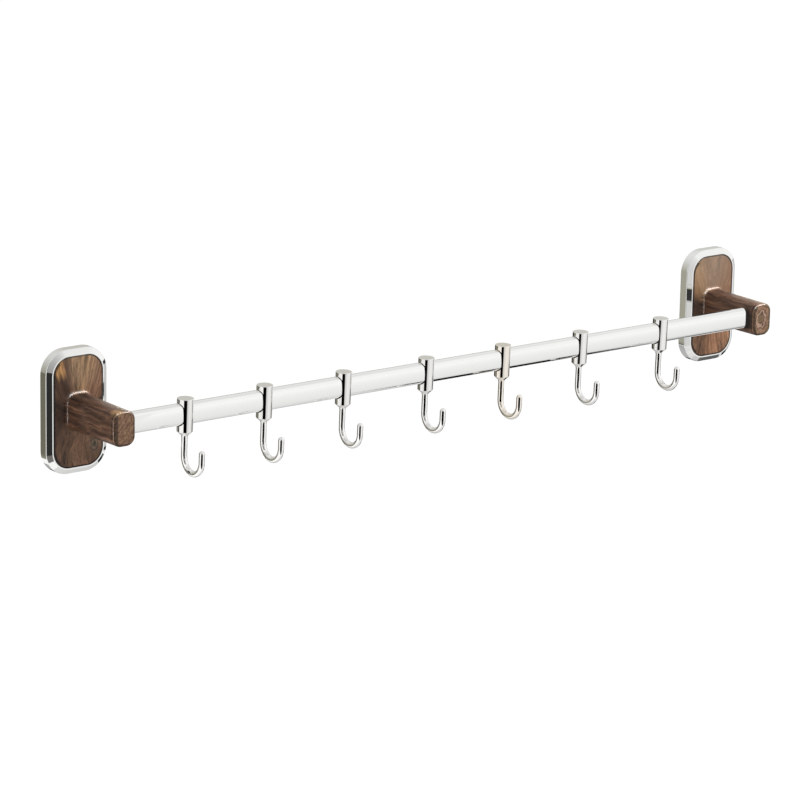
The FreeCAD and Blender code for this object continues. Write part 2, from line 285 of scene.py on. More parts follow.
# Studio: cards that stand along X, with their y, x span, z span, left and right tone, and who sees them
RECEIVERS = ("film_pieces", "broad_pieces", "near_pieces", "but_bar", "only_bar", "only_bezels")
SCREEN_Y = -1.0
STRIP_Y = -0.998
WING_Y = -1.01
OVER_Y = -2.5
BACK_Y = 0.9
SCREEN_HEIGHT = (-0.56, 0.03)
LEFT_WING_HEIGHT = (FLOOR_Z, 0.03)
RIGHT_WING_HEIGHT = (-0.59, 0.1)
BACK_HEIGHT = (-0.59, -0.05)
UPRIGHT_CARDS = (
    ("dark_screen", SCREEN_Y, (-1.3, -0.42), SCREEN_HEIGHT, 0.45, 0.85, "only_bar"),
    ("bevel_strip", STRIP_Y, (-1.14, -0.99), SCREEN_HEIGHT, 0.028, 0.028, "only_bezels"),
    ("screen_left", SCREEN_Y, (-1.6, -1.3), SCREEN_HEIGHT, SHADE, BLACK, "broad_pieces"),
    ("screen_right", SCREEN_Y, (-0.42, -0.33), SCREEN_HEIGHT, BLACK, 0.5, "broad_pieces"),
    ("screen_skirt", SCREEN_Y, (-1.6, -0.33), (FLOOR_Z, -0.56), SHADE, SHADE, "broad_pieces"),
    ("left_wing", SCREEN_Y, (-1.9, -1.6), LEFT_WING_HEIGHT, WHITE, WHITE, "broad_pieces"),
    ("left_wing_end", SCREEN_Y, (-3.0, -1.9), LEFT_WING_HEIGHT, WHITE, WHITE, "near_pieces"),
    ("right_wing", WING_Y, (-0.33, -0.22), RIGHT_WING_HEIGHT, 0.66, 0.70, "broad_pieces"),
    ("right_wing_end", WING_Y, (-0.22, 0.12), RIGHT_WING_HEIGHT, 0.70, 0.83, "near_pieces"),
    ("pale_screen", WING_Y, (0.12, 0.35), (-0.5, 0.1), 0.83, 0.92, None),
    ("grey_over", SCREEN_Y, (-1.1, 0.3), (0.03, 1.2), 0.33, 0.88, None),
    ("dark_over", OVER_Y, (-6.0, -2.35), (0.2, 3.6), BLACK, BLACK, None),
    ("back_olive", BACK_Y, (-2.2, -0.85), BACK_HEIGHT, OLIVE, OLIVE, None),
    ("back_rise", BACK_Y, (-0.85, -0.55), BACK_HEIGHT, OLIVE, PALE_OLIVE, None),
    ("back_fall", BACK_Y, (-0.55, -0.33), BACK_HEIGHT, PALE_OLIVE, 0.04, None),
    ("back_dark", BACK_Y, (-0.33, 2.4), BACK_HEIGHT, 0.04, 0.04, None),
)

# Studio: cards that lie level, with their z, x span, y span, near and far tone, and who sees them
WING_DEPTH = (-1.0, -0.5)
LINE_DEPTH = (-0.40, -0.12)
CORNER_DEPTH = (-0.15, 0.9)
LEVEL_CARDS = (
    ("left_wing_foot", HIGHER, (-1.9, -1.6), WING_DEPTH, WHITE, WHITE, "broad_pieces"),
    ("left_wing_end_foot", HIGHER, (-3.0, -1.9), WING_DEPTH, WHITE, WHITE, "near_pieces"),
    ("right_wing_foot", HIGHER, (-0.35, -0.22), WING_DEPTH, 0.84, 0.77, "broad_pieces"),
    ("right_wing_end_foot", HIGHER, (-0.22, 0.12), WING_DEPTH, 0.84, 0.77, "near_pieces"),
    ("screen_shade", HIGHER, (-1.6, -0.35), WING_DEPTH, SHADE, 0.2, "broad_pieces"),
    ("floor_ahead", LOW, (-0.35, 4.0), (-3.2, -1.5), 1.04, 0.90, None),
    ("floor_front", LOW, (-0.35, 4.0), (-1.5, -0.7), 0.90, 0.80, None),
    ("floor_near", LOW, (-0.35, 0.8), (-0.7, 0.9), 0.92, 0.38, None),
    ("floor_right", HIGHER, (0.4, 2.4), (-0.7, -0.45), 0.80, 0.68, None),
    ("floor_edge", HIGHER, (0.4, 0.74), (-0.45, -0.1), 0.68, 0.62, None),
    ("floor_fall", HIGHER, (0.74, 2.4), (-0.45, -0.15), 0.68, 0.3, None),
    ("foot_panel", HIGHER, (0.74, 0.94), (-0.15, 0.12), 0.12, 0.12, None),
    ("line_black_front", HIGHEST, (0.40, 0.60), LINE_DEPTH, 0.66, 0.62, "but_bar"),
    ("line_grey_front", HIGHEST, (0.60, 0.67), LINE_DEPTH, 0.66, 0.62, "but_bar"),
    ("foot_gap", HIGHER, (0.94, 1.07), CORNER_DEPTH, 0.8, 0.8, None),
    ("corner_black", HIGHER, (1.07, 1.36), CORNER_DEPTH, 0.01, 0.01, None),
    ("floor_end", HIGHER, (1.36, 2.4), CORNER_DEPTH, 0.5, 0.5, None),
)

# Studio: level lines with a bend, as a tone and the x span at each y
LINE_Y = (-0.12, 0.26, 0.9)
LINES = {
    "line_black": (0.01, ((0.40, 0.60), (0.465, 0.67), (0.77, 0.97))),
    "line_grey": (0.15, ((0.60, 0.74), (0.67, 0.80), (0.97, 1.07))),
}

# Studio: cards that stand along Y, with their x, y span, z span and tone, and the card inside each arm
RIGHT_X = 1.5
SIDE_CARDS = (
    ("right_strip", RIGHT_X, (-0.30, 0.25), (-0.58, -0.02), 0.03),
    ("right_back", RIGHT_X, (0.25, 0.9), (-0.58, 0.1), 0.6),
)
ARM_CORE = ((-0.062, -0.014), (-0.008, 0.011), 0.8)

# Studio: cards with four corners and a tone at each
CEILING_Z = 1.3
CEILING_FOLD = -0.2
BACK_TOP = 0.9
CORNER_CARDS = (
    ("back_left_over",
     ((-2.2, BACK_Y, -0.05), (-0.55, BACK_Y, -0.05), (-0.55, BACK_Y, BACK_TOP), (-2.2, BACK_Y, BACK_TOP)),
     (OLIVE, PALE_OLIVE, 0.78, 0.74)),
    ("back_right_over",
     ((-0.55, BACK_Y, -0.05), (2.4, BACK_Y, -0.05), (2.4, BACK_Y, BACK_TOP), (-0.55, BACK_Y, BACK_TOP)),
     (PALE_OLIVE, 0.75, 0.85, 0.78)),
    ("ceiling_back",
     ((-2.2, CEILING_FOLD, CEILING_Z), (2.4, CEILING_FOLD, CEILING_Z),
      (2.4, BACK_Y, BACK_TOP), (-2.2, BACK_Y, BACK_TOP)),
     (0.58, 1.0, 1.0, 0.60)),
    ("ceiling_front",
     ((-1.0, -1.9, CEILING_Z), (3.4, -1.9, CEILING_Z),
      (3.4, CEILING_FOLD, CEILING_Z), (-1.0, CEILING_FOLD, CEILING_Z)),
     (0.94, 1.0, 1.0, 0.60)),
)


def as_colour(tone):
    """A colour as it is, or the grey of a number."""
    return tone if isinstance(tone, tuple) else (tone, tone, tone)


# Surfaces


def quads(rows, columns, closed, start):
    """Faces between neighbouring rows and columns of a grid; closed joins the last column to the first."""
    across = np.arange(columns if closed else columns - 1)
    down = np.arange(rows - 1)[:, None] * columns
    following = (across + 1) % columns
    corners = (down + across, down + following, down + columns + following, down + columns + across)
    return np.stack([start + corner.ravel() for corner in corners], 1)


class Surface:
    """Patches of points with their exact normals, gathered into one mesh."""

    def __init__(self):
        """Starts with no patch."""
        self.points = []
        self.normals = []
        self.faces = []
        self.slots = []
        self.values = {}
        self.count = 0

    def keep(self, points, normals, faces, slot, values):
        """Adds points and normals, n by 3, and faces that are already numbered from the surface's count."""
        self.points.append(points)
        self.normals.append(normals)
        self.faces += faces
        self.slots += [slot] * len(faces)
        for name, value in values.items():
            self.values.setdefault(name, []).append(value)
        self.count += len(points)

    def sheet(self, points, normals, closed=True, slot=0, hidden=None, **values):
        """Adds a grid of rows and columns, turning its faces to the side that its normals point to.

        Faces marked in hidden, one mark for each row step and column, are left out."""
        rows, columns = points.shape[:2]
        flat = points.reshape(-1, 3)
        flat_normals = np.broadcast_to(normals, points.shape).reshape(-1, 3)
        faces = quads(rows, columns, closed, 0)
        corner = flat[faces]
        facing = np.cross(corner[:, 2] - corner[:, 0], corner[:, 3] - corner[:, 1])
        if (facing * flat_normals[faces].sum(1)).sum() < 0:
            faces = faces[:, ::-1]
        if hidden is not None:
            faces = faces[~hidden.ravel()]
        flat_values = {name: value.reshape(len(flat), -1) for name, value in values.items()}
        self.keep(flat, flat_normals, (faces + self.count).tolist(), slot, flat_values)

    def cap(self, loop, normal, slot=0, **values):
        """Adds one flat face inside a closed loop of points."""
        area = np.cross(loop, np.roll(loop, -1, 0)).sum(0)
        order = np.arange(len(loop)) if area @ normal > 0 else np.arange(len(loop))[::-1]
        normals = np.broadcast_to(normal, loop.shape)
        self.keep(loop, normals, [(order + self.count).tolist()], slot, values)

    def piece(self, name, body, node, materials):
        """Makes the object, lets it ride on its body and stand for its node."""
        points = np.concatenate(self.points)
        normals = np.concatenate(self.normals)
        normals = normals / np.linalg.norm(normals, axis=1, keepdims=True)
        mesh = bpy.data.meshes.new(name)
        mesh.from_pydata(points.tolist(), [], self.faces)
        mesh.polygons.foreach_set("use_smooth", [True] * len(self.faces))
        mesh.polygons.foreach_set("material_index", self.slots)
        mesh.normals_split_custom_set_from_vertices(normals.tolist())
        for value_name, blocks in self.values.items():
            block = np.concatenate(blocks)
            attribute = mesh.attributes.new(value_name, "FLOAT_VECTOR", "POINT")
            attribute.data.foreach_set("vector", block.astype(np.float32).ravel())
        for material in materials:
            mesh.materials.append(material)
        obj = bpy.data.objects.new(name, mesh)
        bpy.context.scene.collection.objects.link(obj)
        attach(obj, body)
        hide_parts(node)
        return obj


def outline_parts(width, height, radius):
    """Rounded rectangle about (0, 0) as corner-arc centres c and outward normals n.

    A point of the outline moved in by i is c + (radius - i) n; along a straight side c runs from one
    corner's centre to the next and n stays the same."""
    turn = np.linspace(0, math.pi / 2, CORNER_STEPS + 1)
    share = (np.arange(1, SIDE_STEPS + 1) / (SIDE_STEPS + 1))[:, None]
    half = np.array([width / 2 - radius, height / 2 - radius])
    signs = np.array([(1, 1), (-1, 1), (-1, -1), (1, -1)])
    centres = []
    normals = []
    for number in range(4):
        here = half * signs[number]
        beyond = half * signs[(number + 1) % 4]
        angle = number * math.pi / 2 + turn
        arc = np.stack([np.cos(angle), np.sin(angle)], 1)
        centres += [np.broadcast_to(here, arc.shape), here + share * (beyond - here)]
        normals += [arc, np.broadcast_to(arc[-1], (SIDE_STEPS, 2))]
    return np.concatenate(centres), np.concatenate(normals)


def rounded_path(corners, radii):
    """Broken line with its inner corners rounded to arcs: points, and unit normals on its right-hand side."""
    corners = np.array(corners, float)
    steps = np.diff(corners, axis=0)
    ways = steps / np.linalg.norm(steps, axis=1, keepdims=True)
    points = [corners[:1]]
    tangents = [ways[:1]]
    for number, radius in enumerate(radii):
        before = ways[number]
        after = ways[number + 1]
        turn = math.atan2(before[0] * after[1] - before[1] * after[0], before @ after)
        reach = radius * math.tan(abs(turn) / 2)
        side = math.copysign(1, turn)
        centre = corners[number + 1] - reach * before + side * radius * np.array([-before[1], before[0]])
        angle = turn * np.linspace(0, 1, ROUND_STEPS + 1)[:, None]
        way = np.cos(angle) * before + np.sin(angle) * np.array([-before[1], before[0]])
        points.append(centre + side * radius * np.stack([way[:, 1], -way[:, 0]], 1))
        tangents.append(way)
    points.append(corners[-1:])
    tangents.append(ways[-1:])
    tangent = np.concatenate(tangents)
    return np.concatenate(points), np.stack([tangent[:, 1], -tangent[:, 0]], 1)


def plate_rows(centres, normals, radius, profile, profile_normals):
    """Profile of (inset, out) carried round an outline: x and z are c + (radius - inset) n, and y is -out."""
    inset = profile[:, 0][:, None, None]
    out = np.broadcast_to(profile[:, 1][:, None], (len(profile), len(centres)))
    flat = centres + (radius - inset) * normals
    points = np.stack([flat[..., 0], -out, flat[..., 1]], 2)
    inward = profile_normals[:, 0][:, None]
    outward = np.broadcast_to(-profile_normals[:, 1][:, None], out.shape)
    facing = np.stack([-inward * normals[:, 0], outward, -inward * normals[:, 1]], 2)
    return points, facing


# Bezels


def grub_window(surface, rims, middle):
    """Flat window of the lower rim round the grub screw's hole, outside and inside, and the hole's wall.

    A face between two neighbouring points of the window's edge goes back along the hole's circle, and the
    circle's points include the directions of all points of the edges."""
    spot = middle + np.array([0, -GRUB_OUT, 0])
    loops = [np.concatenate([rim[0], rim[1][::-1]]) for rim in rims]
    offsets = [loop - spot for loop in loops]
    angles = [np.arctan2(offset[:, 1], offset[:, 0]).round(ANGLE_DIGITS) for offset in offsets]
    even = np.linspace(-math.pi, math.pi, RING_STEPS, endpoint=False).round(ANGLE_DIGITS)
    angle = np.unique(np.concatenate([even, *angles]))
    ring = np.stack([np.cos(angle), np.sin(angle), 0 * angle], 1)
    circles = []
    for loop, turns, facing in zip(loops, angles, (-1.0, 1.0)):
        circle = spot + GRUB_RADIUS * ring + np.array([0, 0, loop[0, 2]])
        order = np.argsort(turns)
        edge = loop[order]
        steps = np.searchsorted(angle, turns[order])
        faces = []
        for number, step in enumerate(steps):
            following = (number + 1) % len(steps)
            count = (steps[following] - step) % len(angle)
            back = (step + np.arange(count, -1, -1)) % len(angle)
            corners = np.array([number, following, *(len(edge) + back)]) + surface.count
            faces.append((corners if facing > 0 else corners[::-1]).tolist())
        points = np.concatenate([edge, circle])
        surface.keep(points, np.broadcast_to([0, 0, facing], points.shape), faces, 0, {})
        circles.append(circle)
    # The hole's wall takes the bezel's second finish, painted dark as shade.
    surface.sheet(np.stack(circles), np.stack([-ring, -ring]), slot=1)


def make_bezel(side, materials):
    """Shell: hollow, back edge, rim, bevel and crest, then the recess painted dark as shade, as profiles
    round the outline.
    """
    node = f"bezel_{side}"
    low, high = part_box(node)
    width = high.x - low.x
    height = high.z - low.z
    depth = high.y - low.y
    middle = np.array([(low.x + high.x) / 2, 0, 0])
    web_back = RIM_DEPTH - WEB_THICKNESS
    crest_inset = BEVEL_WIDTH + CREST_WIDTH
    centres, normals = outline_parts(width, height, PLATE_CORNER)
    lip = depth - CREST_LIP
    shell = [(BEZEL_WALL, web_back), (BEZEL_WALL, 0), (0, 0), (0, RIM_DEPTH), (BEVEL_WIDTH, depth),
             (crest_inset, depth), (crest_inset, lip)]
    profile, facing = rounded_path(shell, [BACK_ROUND, BACK_ROUND, RIM_ROUND, CREST_ROUND, CREST_ROUND])
    points, faces_to = plate_rows(centres, normals, PLATE_CORNER, profile, -facing)
    recess, recess_facing = rounded_path([(crest_inset, lip), (crest_inset, RIM_DEPTH)], [])
    recess_points, recess_to = plate_rows(centres, normals, PLATE_CORNER, recess, -recess_facing)

    rim_row = 2 * ROUND_STEPS + 2
    low_side = 3 * (CORNER_STEPS + 1) + 2 * SIDE_STEPS
    window = slice(low_side + GRUB_COLUMNS[0], low_side + GRUB_COLUMNS[1])
    hidden = np.zeros((len(profile) - 1, len(centres)), bool)
    hidden[[0, rim_row], window] = True
    edges = slice(window.start, window.stop + 1)
    rims = [points[row:row + 2, edges] + middle for row in (rim_row, 0)]

    surface = Surface()
    surface.sheet(points + middle, faces_to, hidden=hidden)
    surface.sheet(recess_points + middle, recess_to, slot=1)
    surface.cap(points[0] + middle, TO_WALL)
    surface.cap(recess_points[-1] + middle, TO_ROOM, slot=1)
    grub_window(surface, rims, middle)
    return surface.piece(f"bezel_shell_{side}", ROOT_BODY, node, materials)


# Face and arm


def arm_outline(out, face_out, reach):
    """Width, height and corner of the arm's section at a distance out, on a straight taper to the tip."""
    share = (out - face_out) / (reach - face_out)
    return [base + share * (tip - base) for base, tip in zip(ARM_BASE, ARM_TIP)]


def arm_rows(bezel_low, bezel_high, reach):
    """Rows of the moulding from the face's back edge over the face, fillet and arm to the middle of the tip.

    Each row is an outline c + (r + g) n at a distance out, and the rows between two outlines on the face are
    straight blends of them. Returns points and normals."""
    depth = bezel_high.y - bezel_low.y
    face_out = depth - FACE_SINK
    inset = BEVEL_WIDTH + CREST_WIDTH + FACE_GROOVE
    plate = outline_parts(bezel_high.x - bezel_low.x, bezel_high.z - bezel_low.z, PLATE_CORNER)
    edge = [(inset, RIM_DEPTH), (inset, face_out), (inset + 2 * FACE_ROUND, face_out)]
    profile, profile_ways = rounded_path(edge, [FACE_ROUND])
    points, facing = plate_rows(*plate, PLATE_CORNER, profile, -profile_ways)
    rows = [points]
    ways = [facing]

    foot = arm_outline(face_out, face_out, reach)
    foot_centres, normals = outline_parts(*foot)
    fillet_edge = foot_centres + (foot[2] + FOOT_FILLET) * normals
    inner = np.stack([fillet_edge[:, 0], np.full(len(normals), -face_out), fillet_edge[:, 1]], 1)
    share = np.linspace(0, 1, FACE_STEPS)[1:-1, None, None]
    rows.append(points[-1] * (1 - share) + inner * share)
    ways.append(np.broadcast_to(TO_ROOM, rows[-1].shape))

    def section(out, growth, way_in, way_out):
        """One outline of the arm, grown by growth; its normal leans way_in along n and way_out outwards."""
        width, height, radius = arm_outline(out, face_out, reach)
        centres, _ = outline_parts(width, height, radius)
        flat = centres + (radius + growth) * normals
        lean = way_in * normals
        rows.append(np.stack([flat[:, 0], np.full(len(flat), -out), flat[:, 1]], 1)[None])
        ways.append(np.stack([lean[:, 0], np.full(len(flat), -way_out), lean[:, 1]], 1)[None])

    for turn in np.linspace(0, math.pi / 2, 2 * ROUND_STEPS + 1):
        section(face_out + FOOT_FILLET * (1 - math.cos(turn)), FOOT_FILLET * (1 - math.sin(turn)),
                math.sin(turn), math.cos(turn))
    for out in np.linspace(face_out + FOOT_FILLET, reach - TIP_ROUND, ARM_STEPS)[1:]:
        section(out, 0.0, 1.0, 0.0)
    for turn in np.linspace(0, math.pi / 2, 2 * ROUND_STEPS + 1)[1:]:
        section(reach - TIP_ROUND * (1 - math.sin(turn)), TIP_ROUND * (math.cos(turn) - 1),
                math.cos(turn), math.sin(turn))
    rim = rows[-1]
    centre = np.array([0, -reach, 0])
    share = np.linspace(1, TIP_MIDDLE, TIP_STEPS)[1:, None, None]
    rows.append(centre + (rim - centre) * share)
    ways.append(np.broadcast_to(TO_ROOM, rows[-1].shape))
    return np.concatenate(rows), np.concatenate(ways)


def make_arm(side, material):
    """Moulding of face and arm, with the film's own coordinates: round the arm, and back from its tip."""
    node = f"arm_{side}"
    bezel_low, bezel_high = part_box(f"bezel_{side}")
    reach = -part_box(node)[0].y
    middle = np.array([(bezel_low.x + bezel_high.x) / 2, 0, 0])
    points, facing = arm_rows(bezel_low, bezel_high, reach)
    stride = np.linalg.norm(np.diff(points, axis=0), axis=2).mean(1)
    from_tip = np.concatenate([np.cumsum(stride[::-1])[::-1], [0.0]])
    row = points[FILM_ROW]
    steps = np.linalg.norm(np.diff(row, axis=0, append=row[:1]), axis=1)
    angle = 2 * math.pi * np.cumsum(steps) / steps.sum()
    film = np.stack(np.broadcast_arrays(np.cos(angle), np.sin(angle), from_tip[:, None]), 2)
    # edge marks the face's rounded edge, and a wider strip where the outline faces left, for painted shade
    edge = np.zeros_like(film)
    edge[:SHADED_EDGE_ROWS, :, 0] = 1
    away = outline_parts(*arm_outline(0, 0, reach))[1][:, 0] < SHADE_WIDER_FROM
    edge[SHADED_EDGE_ROWS:SHADED_EDGE_ROWS + SHADE_WIDER_ROWS, away, 0] = 1
    surface = Surface()
    surface.sheet(points + middle, facing, film=film, edge=edge)
    surface.cap(points[0] + middle, TO_WALL, film=film[0], edge=edge[0])
    surface.cap(points[-1] + middle, TO_ROOM, film=film[-1], edge=edge[-1])
    return surface.piece(f"walnut_arm_{side}", ROOT_BODY, node, [material])


# Bar


def bar_section(half_depth, half_height, corner):
    """Closed oval section: crowned front and back, tangent corner arcs, and a narrow flat above and below.

    A crown of radius R ends where its slope is b, with sin b = (half_height - corner) / (R - corner)."""
    lean = math.asin((half_height - corner) / (BAR_CROWN_RADIUS - corner))
    crown = np.linspace(-lean, lean, 2 * SIDE_STEPS)[:, None]
    crown_way = np.concatenate([np.cos(crown), np.sin(crown)], 1)
    crown_points = np.array([half_depth - BAR_CROWN_RADIUS, 0]) + BAR_CROWN_RADIUS * crown_way
    centre = crown_points[-1] - corner * crown_way[-1]
    turn = np.linspace(lean, math.pi / 2, CORNER_STEPS)[1:, None]
    corner_way = np.concatenate([np.cos(turn), np.sin(turn)], 1)
    corner_points = centre + corner * corner_way
    mirror = np.array([-1, 1])
    points = [crown_points, corner_points, corner_points[::-1] * mirror]
    ways = [crown_way, corner_way, corner_way[::-1] * mirror]
    half = np.concatenate(points)
    half_ways = np.concatenate(ways)
    return np.concatenate([half, -half]), np.concatenate([half_ways, -half_ways])


def make_bar(material):
    """Tube: its outer and inner section carried from end to end, and a flat ring at each end."""
    low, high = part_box("rail")
    middle = (low + high) / 2
    half_depth = (high.y - low.y) / 2
    half_height = (high.z - low.z) / 2
    surface = Surface()
    loops = []
    for inset, sign in ((0.0, 1.0), (BAR_WALL, -1.0)):
        section, ways = bar_section(half_depth - inset, half_height - inset, BAR_CORNER - inset)
        y, z = section.T
        ends = [np.stack([np.full(len(section), x), y + middle.y, z + middle.z], 1) for x in (low.x, high.x)]
        facing = sign * np.stack([np.zeros(len(ways)), ways[:, 0], ways[:, 1]], 1)
        surface.sheet(np.stack(ends), np.stack([facing, facing]))
        loops.append(ends)
    for end, way in enumerate((-1.0, 1.0)):
        surface.sheet(np.stack([loops[0][end], loops[1][end]]), np.array([way, 0, 0]))
    return surface.piece("oval_bar", ROOT_BODY, "rail", [material])


# Hooks


def hook_frame(number):
    """Turn by the lean about X, and the spot on the bar, that set one hook's points in place."""
    body_low, body_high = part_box(f"hook_body_{number}")
    bar_low, bar_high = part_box("rail")
    cos = math.cos(HOOK_LEAN)
    sin = math.sin(HOOK_LEAN)
    turn = np.array([[1, 0, 0], [0, cos, -sin], [0, sin, cos]])
    spot = np.array([(body_low.x + body_high.x) / 2, (bar_low.y + bar_high.y) / 2, -HOOK_DROP])
    return turn, spot


def hook_sizes():
    """Half width and half height of the hole, and heights of the body's top and foot and the collar."""
    low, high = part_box("rail")
    half_width = (high.y - low.y) / 2 + HOLE_CLEARANCE
    half_height = (high.z - low.z) / 2 + HOLE_CLEARANCE
    top = half_height + BODY_ABOVE_HOLE
    foot = -half_height - BODY_BELOW_HOLE
    return half_width, half_height, top, foot, foot - CONE_HEIGHT - COLLAR_HEIGHT


def body_radius(z, top, foot):
    """Radius of the body's slight taper at height z."""
    share = (z - foot) / (top - foot)
    return BODY_FOOT_RADIUS + share * (BODY_TOP_RADIUS - BODY_FOOT_RADIUS)


def turned(profile, profile_ways, angle):
    """Profile of (radius, z) turned about the upright axis through the given angles."""
    ring = np.stack([np.cos(angle), np.sin(angle)], 1)
    flat = profile[:, 0][:, None, None] * ring
    z = np.broadcast_to(profile[:, 1][:, None], flat.shape[:2])
    way = profile_ways[:, 0][:, None, None] * ring
    rise = np.broadcast_to(profile_ways[:, 1][:, None], flat.shape[:2])
    return np.concatenate([flat, z[..., None]], 2), np.concatenate([way, rise[..., None]], 2)


def hook_band(arch, wall, sign, end_z, top, foot):
    """Band of the body above or below the hole, up to end_z: the angles of its columns, points and normals.

    A column keeps its angle a, and starts on the hole's edge, where radius sin a is the edge's y. The wall's
    columns start at the ends of the arch."""
    y, z = arch[::-1].T
    edge_z = sign * z
    lead = np.arcsin(y / body_radius(edge_z, top, foot))
    columns = np.concatenate([lead, wall, math.pi + lead, math.pi + wall])
    side_z = np.full(len(wall), edge_z[0])
    start_z = np.concatenate([edge_z, side_z, edge_z, side_z])
    height = start_z + np.linspace(0, 1, BODY_ROWS)[:, None] * (end_z - start_z)
    radius = body_radius(height, top, foot)
    points = np.stack([radius * np.cos(columns), radius * np.sin(columns), height], 2)
    slope = (BODY_TOP_RADIUS - BODY_FOOT_RADIUS) / (top - foot)
    facing = np.stack(np.broadcast_arrays(np.cos(columns), np.sin(columns), -slope + 0 * height), 2)
    return columns, points, facing


def hook_bore(arch, wall_z, half_width, top, foot):
    """Wall of the hole from one side of the body to the other, with its normals to the inside."""
    front = np.stack([np.full(SIDE_STEPS, -half_width), wall_z], 1)[1:-1]
    edge = np.concatenate([arch, front, -arch, -front])
    reach = np.sqrt(body_radius(edge[:, 1], top, foot) ** 2 - edge[:, 0] ** 2)
    points = np.stack([np.stack([sign * reach, edge[:, 0], edge[:, 1]], 1) for sign in (-1, 1)])
    along = np.roll(edge, -1, 0) - np.roll(edge, 1, 0)
    inward = np.stack([np.zeros(len(edge)), -along[:, 1], along[:, 0]], 1)
    inward *= np.sign((inward[:, 1:] * -edge).sum())
    return points, np.stack([inward, inward])


def make_hook_body(number, materials):
    """Turned body: bands above and below the hole, a wall before and behind it, bore and rod socket."""
    half_width, half_height, top, foot, collar_foot = hook_sizes()
    corner = BAR_CORNER + HOLE_CLEARANCE
    side_top = half_height - corner
    shoulder = top - 2 * BODY_TOP_ROUND
    skirt = foot + 2 * CONE_ROUND
    head = [(body_radius(shoulder, top, foot), shoulder), (BODY_TOP_RADIUS, top), (BODY_TOP_MIDDLE, top)]
    cone = [(body_radius(skirt, top, foot), skirt), (BODY_FOOT_RADIUS, foot),
            (COLLAR_RADIUS, foot - CONE_HEIGHT), (COLLAR_RADIUS, collar_foot), (ROD_RADIUS, collar_foot)]
    socket = np.array([(ROD_RADIUS, collar_foot), (ROD_RADIUS, collar_foot + ROD_SOCKET)])

    turn = np.linspace(math.pi / 2, 0, CORNER_STEPS)
    arch_half = np.stack([half_width - corner + corner * np.sin(turn), side_top + corner * np.cos(turn)], 1)
    arch = np.concatenate([arch_half, arch_half[::-1] * np.array([-1, 1])])
    wall_z = np.linspace(side_top, -side_top, SIDE_STEPS)
    wall_radius = body_radius(wall_z, top, foot)
    wall_start = np.arcsin(half_width / wall_radius)
    share = np.linspace(0, 1, SIDE_STEPS + 2)[:, None]
    wall_angle = wall_start + share * (math.pi - 2 * wall_start)

    parts = []
    rings = {}
    for sign, end_z, end, path, rounds in ((1.0, shoulder, 0, head, [BODY_TOP_ROUND]),
                                           (-1.0, skirt, -1, cone, [CONE_ROUND, CONE_ROUND, COLLAR_ROUND])):
        columns, points, facing = hook_band(arch, wall_angle[1:-1, end], sign, end_z, top, foot)
        parts.append((points, facing, True, 0))
        profile, profile_ways = rounded_path(path, rounds)
        rings[sign], ring_ways = turned(profile, sign * profile_ways, columns)
        parts.append((rings[sign], ring_ways, True, 0))
    # The rod socket and the bore take the second finish, painted dark as shade.
    hollow, hollow_ways = turned(socket, np.array([(-1.0, 0.0), (-1.0, 0.0)]), columns)
    parts.append((hollow, hollow_ways, True, 1))
    for angle in (wall_angle, wall_angle + math.pi):
        ring = (np.cos(angle), np.sin(angle))
        points = np.stack(np.broadcast_arrays(wall_radius * ring[0], wall_radius * ring[1], wall_z), 2)
        parts.append((points, np.stack([*ring, 0 * angle], 2), False, 0))
    parts.append((*hook_bore(arch, wall_z, half_width, top, foot), True, 1))

    turn, spot = hook_frame(number)
    surface = Surface()
    for points, facing, closed, slot in parts:
        surface.sheet(points @ turn.T + spot, facing @ turn.T, closed, slot)
    surface.cap(rings[1.0][-1] @ turn.T + spot, turn @ UP)
    surface.cap(hollow[-1] @ turn.T + spot, turn @ -UP, slot=1)
    node = f"hook_body_{number}"
    return surface.piece(f"turned_body_{number}", f"hook_{number}", node, materials)


def make_hook_rod(number, material):
    """Round rod along a J: straight down, half a circle towards the room, straight up and a domed tip."""
    collar_foot = hook_sizes()[-1]
    bend_z = collar_foot - ROD_STRAIGHT
    bend = np.linspace(0, math.pi, 3 * CORNER_STEPS)
    dome = np.linspace(0, math.pi / 2, CORNER_STEPS)[:-1]
    path_y = np.concatenate([[0, 0], -BEND_RADIUS * (1 - np.cos(bend)),
                             np.full(len(dome), -2 * BEND_RADIUS)])
    path_z = np.concatenate([[collar_foot + ROD_SOCKET, collar_foot], bend_z - BEND_RADIUS * np.sin(bend),
                             bend_z + TIP_STRAIGHT + ROD_RADIUS * np.sin(dome)])
    heading = np.concatenate([[0, 0], bend, np.full(len(dome), math.pi)])
    thickness = np.concatenate([np.full(len(bend) + 2, ROD_RADIUS), ROD_RADIUS * np.cos(dome)])
    point_up = np.concatenate([np.zeros(len(bend) + 2), np.sin(dome)])
    around = np.linspace(0, 2 * math.pi, RING_STEPS, endpoint=False)
    side_way = np.cos(around)
    cross_way = np.sin(around)
    across_y = np.cos(heading)[:, None] * cross_way
    across_z = -np.sin(heading)[:, None] * cross_way
    swell = np.cos(np.arcsin(point_up))[:, None]
    rise = swell * across_z + point_up[:, None]
    facing = np.stack(np.broadcast_arrays(swell * side_way, swell * across_y, rise), 2)
    size = thickness[:, None]
    points = np.stack([size * side_way, path_y[:, None] + size * across_y,
                       path_z[:, None] + size * across_z], 2)
    turn, spot = hook_frame(number)
    placed = points @ turn.T + spot
    surface = Surface()
    surface.sheet(placed, facing @ turn.T)
    for loop in (placed[0], placed[-1]):
        surface.cap(loop, turn @ UP)
    node = f"hook_rod_{number}"
    return surface.piece(f"bent_rod_{number}", f"hook_{number}", node, [material])


# Finishes


